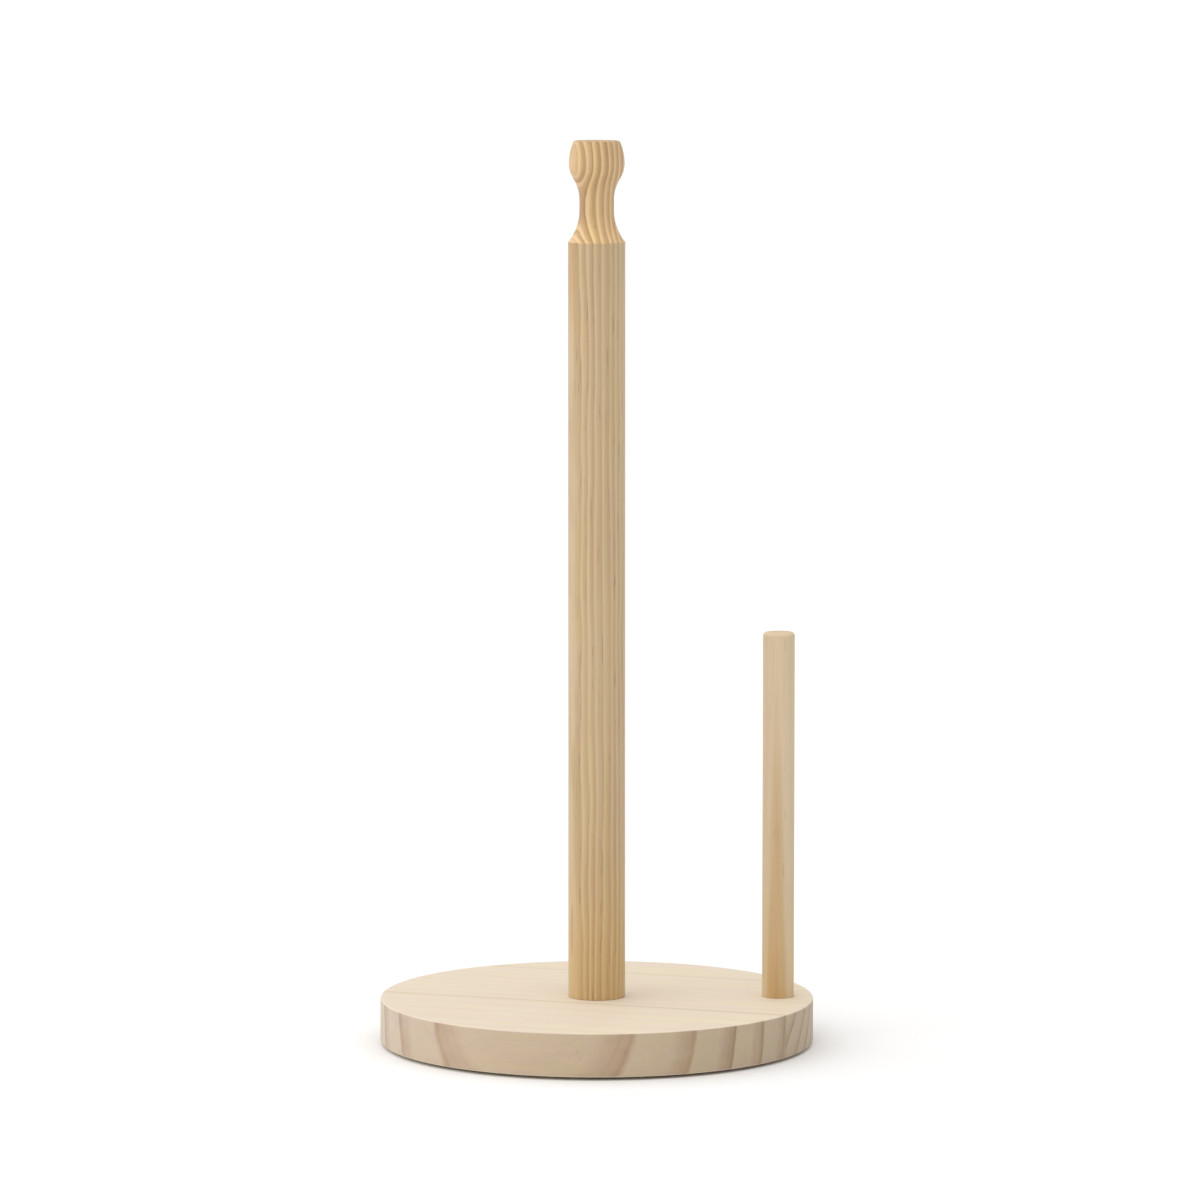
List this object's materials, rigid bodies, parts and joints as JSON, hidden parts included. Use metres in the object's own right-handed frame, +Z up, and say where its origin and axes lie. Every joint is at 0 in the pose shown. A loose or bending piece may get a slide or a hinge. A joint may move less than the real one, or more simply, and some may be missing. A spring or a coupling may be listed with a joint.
{
  "type": "paper towel holder",
  "caption": "Upright wooden paper towel holder: a round base glued up from staves, a tall centre post with a turned finial, and a short side peg.",
  "frame": {"origin": "centre of the base, on the surface that the foot pads stand on", "axes": "+Z up along the centre post, +X from the post towards the side peg"},
  "size_m": [0.16, 0.16, 0.3332],
  "materials": {
    "base_pine": "matte",
    "post_pine": "matte",
    "peg_pine": "matte",
    "screw_steel": "satin",
    "pad_rubber": "matte"
  },
  "bodies": {
    "root": {"base_stave_front": "base_pine", "base_stave_middle": "base_pine", "base_stave_rear": "base_pine", "centre_post": "post_pine", "side_peg": "peg_pine", "post_screw": "screw_steel", "peg_screw": "screw_steel", "foot_pad_front_left": "pad_rubber", "foot_pad_front_right": "pad_rubber", "foot_pad_rear_left": "pad_rubber", "foot_pad_rear_right": "pad_rubber"}
  },
  "joints": []
}
